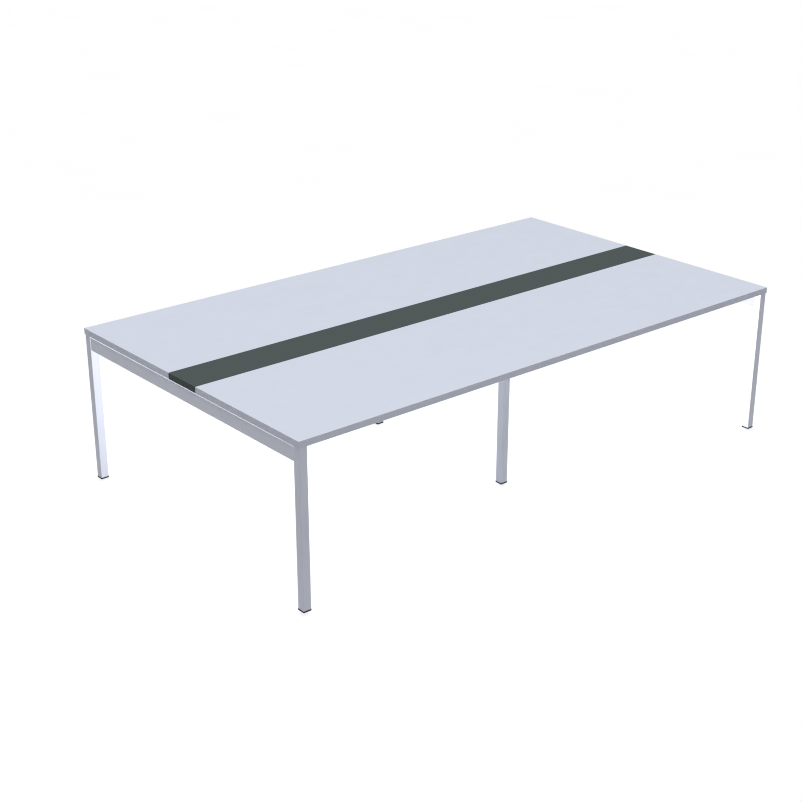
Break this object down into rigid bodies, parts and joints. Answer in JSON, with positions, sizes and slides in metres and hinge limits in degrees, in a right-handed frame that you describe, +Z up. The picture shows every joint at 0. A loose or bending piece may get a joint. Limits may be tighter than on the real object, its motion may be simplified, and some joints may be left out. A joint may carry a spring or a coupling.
{
  "type": "conference table",
  "caption": "Long rectangular conference table: pale tops either side of a dark flush centre strip, on a square-tube frame with inset middle legs and screw-out levelling feet.",
  "frame": {"origin": "on the floor under the centre of the table", "axes": "+X along the table's length, +Y across it towards the rear long side, +Z up"},
  "size_m": [2.8, 1.61, 0.735],
  "materials": {
    "pale_board": "matte",
    "edge_band_pale": "matte",
    "dark_board": "matte",
    "edge_band_dark": "matte",
    "frame_paint": "satin",
    "zinc_steel": "satin",
    "black_plastic": "matte"
  },
  "bodies": {
    "table": {"beam_bolts": "zinc_steel", "beam_spigots": "frame_paint", "centre_strip": "dark_board", "centre_strip_edging": "edge_band_dark", "front_left_beam": "frame_paint", "front_left_leg": "frame_paint", "front_mid_leg": "frame_paint", "front_right_beam": "frame_paint", "front_right_leg": "frame_paint", "front_top": "pale_board", "front_top_edging": "edge_band_pale", "joining_plate_screws": "zinc_steel", "joining_plates": "zinc_steel", "left_end_rail": "frame_paint", "leg_foot_inserts": "black_plastic", "leg_top_plates": "frame_paint", "mid_cross_rail": "frame_paint", "rear_left_beam": "frame_paint", "rear_left_leg": "frame_paint", "rear_mid_leg": "frame_paint", "rear_right_beam": "frame_paint", "rear_right_leg": "frame_paint", "rear_top": "pale_board", "rear_top_edging": "edge_band_pale", "right_end_rail": "frame_paint", "threaded_inserts": "zinc_steel", "top_screws": "zinc_steel", "top_spacers": "black_plastic"},
    "front_left_foot": {"front_left_foot_pad": "black_plastic", "front_left_foot_spindle": "zinc_steel"},
    "front_mid_foot": {"front_mid_foot_pad": "black_plastic", "front_mid_foot_spindle": "zinc_steel"},
    "front_right_foot": {"front_right_foot_pad": "black_plastic", "front_right_foot_spindle": "zinc_steel"},
    "rear_left_foot": {"rear_left_foot_pad": "black_plastic", "rear_left_foot_spindle": "zinc_steel"},
    "rear_mid_foot": {"rear_mid_foot_pad": "black_plastic", "rear_mid_foot_spindle": "zinc_steel"},
    "rear_right_foot": {"rear_right_foot_pad": "black_plastic", "rear_right_foot_spindle": "zinc_steel"}
  },
  "joints": [
    {"name": "front_left_foot_screw", "type": "slide", "parent": "table", "child": "front_left_foot", "axis": [0, 0, -1], "range_m": [0, 0.012]},
    {"name": "front_mid_foot_screw", "type": "slide", "parent": "table", "child": "front_mid_foot", "axis": [0, 0, -1], "range_m": [0, 0.012]},
    {"name": "front_right_foot_screw", "type": "slide", "parent": "table", "child": "front_right_foot", "axis": [0, 0, -1], "range_m": [0, 0.012]},
    {"name": "rear_left_foot_screw", "type": "slide", "parent": "table", "child": "rear_left_foot", "axis": [0, 0, -1], "range_m": [0, 0.012]},
    {"name": "rear_mid_foot_screw", "type": "slide", "parent": "table", "child": "rear_mid_foot", "axis": [0, 0, -1], "range_m": [0, 0.012]},
    {"name": "rear_right_foot_screw", "type": "slide", "parent": "table", "child": "rear_right_foot", "axis": [0, 0, -1], "range_m": [0, 0.012]}
  ]
}
